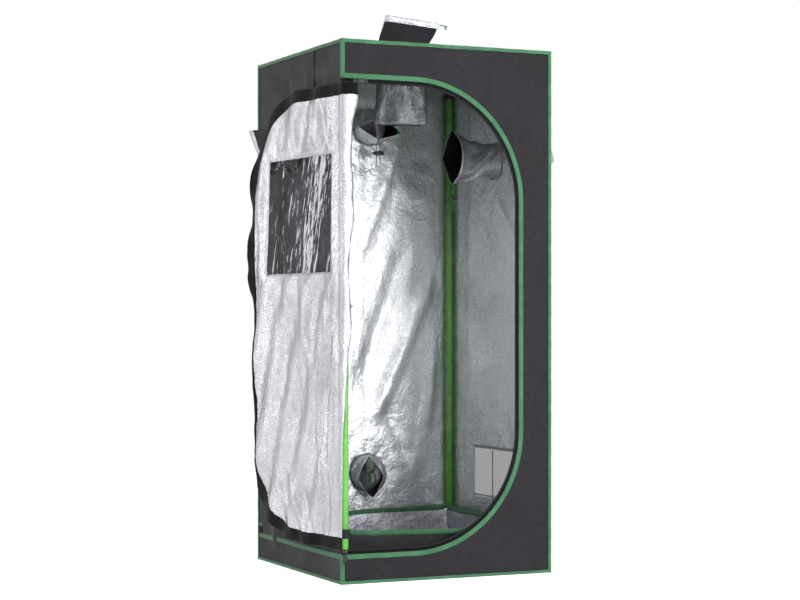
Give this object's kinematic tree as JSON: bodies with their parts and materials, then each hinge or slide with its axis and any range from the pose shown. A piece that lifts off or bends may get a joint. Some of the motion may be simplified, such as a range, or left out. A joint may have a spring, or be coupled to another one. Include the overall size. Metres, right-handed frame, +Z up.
{
  "type": "indoor grow tent",
  "caption": "Tall square fabric grow tent on a tube frame, with a side-hung D-shaped door held open, duct sleeves, a mesh vent with a flap and a lift-out floor tray.",
  "frame": {"origin": "on the floor, at the centre of the tent's footprint", "axes": "+Z up, -Y out of the doorway, +X to the right seen from in front"},
  "size_m": [0.863, 0.713, 1.5221],
  "materials": {
    "black_cloth": "coated Oxford weave",
    "silver_cloth": "embossed metallised film",
    "green_trim": "woven tape",
    "green_paint": "gloss",
    "black_plastic": "moulded",
    "pull_metal": "stamped",
    "clear_film": "clear plastic film",
    "grey_mesh": "open mesh"
  },
  "bodies": {
    "tent": {"cord_rear_lower": "green_trim", "cord_rear_upper": "green_trim", "cord_right": "green_trim", "cord_roof_inner": "green_trim", "corner_bottom_front_left": "black_plastic", "corner_bottom_front_right": "black_plastic", "corner_bottom_rear_left": "black_plastic", "corner_bottom_rear_right": "black_plastic", "corner_loop": "black_cloth", "corner_top_front_left": "black_plastic", "corner_top_front_right": "black_plastic", "corner_top_rear_left": "black_plastic", "corner_top_rear_right": "black_plastic", "door_tie_strap": "black_cloth", "green_binding": "green_trim", "panel_floor": "black_cloth", "panel_front": "black_cloth", "panel_left": "black_cloth", "panel_rear": "black_cloth", "panel_right": "black_cloth", "panel_roof": "black_cloth", "post_front_left": "green_paint", "post_front_right": "green_paint", "post_rear_left": "green_paint", "post_rear_right": "green_paint", "rail_bottom_front": "green_paint", "rail_bottom_left": "green_paint", "rail_bottom_rear": "green_paint", "rail_bottom_right": "green_paint", "rail_top_front": "green_paint", "rail_top_left": "green_paint", "rail_top_rear": "green_paint", "rail_top_right": "green_paint", "sleeve_left": "silver_cloth", "sleeve_rear_lower": "silver_cloth", "sleeve_rear_upper": "silver_cloth", "sleeve_right": "silver_cloth", "sleeve_roof": "silver_cloth", "vent_mesh": "grey_mesh", "zip_tape": "black_cloth"},
    "door": {"door_panel": "silver_cloth", "door_window": "clear_film", "door_hem": "black_cloth"},
    "top_slider": {"zip_slider_top": "black_plastic"},
    "top_pull": {"zip_pull_top": "pull_metal"},
    "bottom_slider": {"zip_slider_bottom": "black_plastic"},
    "bottom_pull": {"zip_pull_bottom": "pull_metal"},
    "front_bar": {"hanging_bar_front": "green_paint"},
    "rear_bar": {"hanging_bar_rear": "green_paint"},
    "flap": {"vent_flap": "black_cloth"},
    "tray": {"floor_tray": "black_cloth", "tray_binding": "green_trim", "tray_strap_front_left": "black_cloth", "tray_cord_rear_right": "green_trim"},
    "upper_lock": {"lock_rear_upper": "black_plastic"},
    "side_lock": {"lock_right": "black_plastic"},
    "lower_lock": {"lock_rear_lower": "black_plastic"}
  },
  "joints": [
    {"name": "door_swing", "type": "hinge", "parent": "tent", "child": "door", "pos_m": [-0.3062, -0.3062, 0.69], "axis": [0, 0, 1], "range_deg": [0, 263]},
    {"name": "top_slider_run", "type": "slide", "parent": "tent", "child": "top_slider", "axis": [1, 0, 0], "range_m": [0, 0.16]},
    {"name": "top_pull_turn", "type": "hinge", "parent": "top_slider", "child": "top_pull", "pos_m": [-0.265, -0.3096, 1.294], "axis": [0, 0, -1], "range_deg": [0, 110]},
    {"name": "bottom_slider_run", "type": "slide", "parent": "tent", "child": "bottom_slider", "axis": [1, 0, 0], "range_m": [0, 0.19]},
    {"name": "bottom_pull_swing", "type": "hinge", "parent": "bottom_slider", "child": "bottom_pull", "pos_m": [-0.2965, -0.3096, 0.083], "axis": [-1, 0, 0], "range_deg": [0, 110]},
    {"name": "front_bar_slide", "type": "slide", "parent": "tent", "child": "front_bar", "axis": [0, 1, 0], "range_m": [-0.05, 0.05]},
    {"name": "rear_bar_slide", "type": "slide", "parent": "tent", "child": "rear_bar", "axis": [0, 1, 0], "range_m": [-0.05, 0.05]},
    {"name": "vent_flap_fold", "type": "hinge", "parent": "tent", "child": "flap", "pos_m": [0.3075, 0, 0.1758], "axis": [0, -1, 0], "range_deg": [0, 180]},
    {"name": "tray_lift", "type": "slide", "parent": "tent", "child": "tray", "axis": [0, 0, 1], "range_m": [0, 0.03]},
    {"name": "upper_lock_slide", "type": "slide", "parent": "tent", "child": "upper_lock", "axis": [0, 0, 1], "range_m": [-0.012, 0.012]},
    {"name": "side_lock_slide", "type": "slide", "parent": "tent", "child": "side_lock", "axis": [0, 0, 1], "range_m": [-0.012, 0.012]},
    {"name": "lower_lock_slide", "type": "slide", "parent": "tent", "child": "lower_lock", "axis": [0, 0, 1], "range_m": [-0.012, 0.012]}
  ]
}
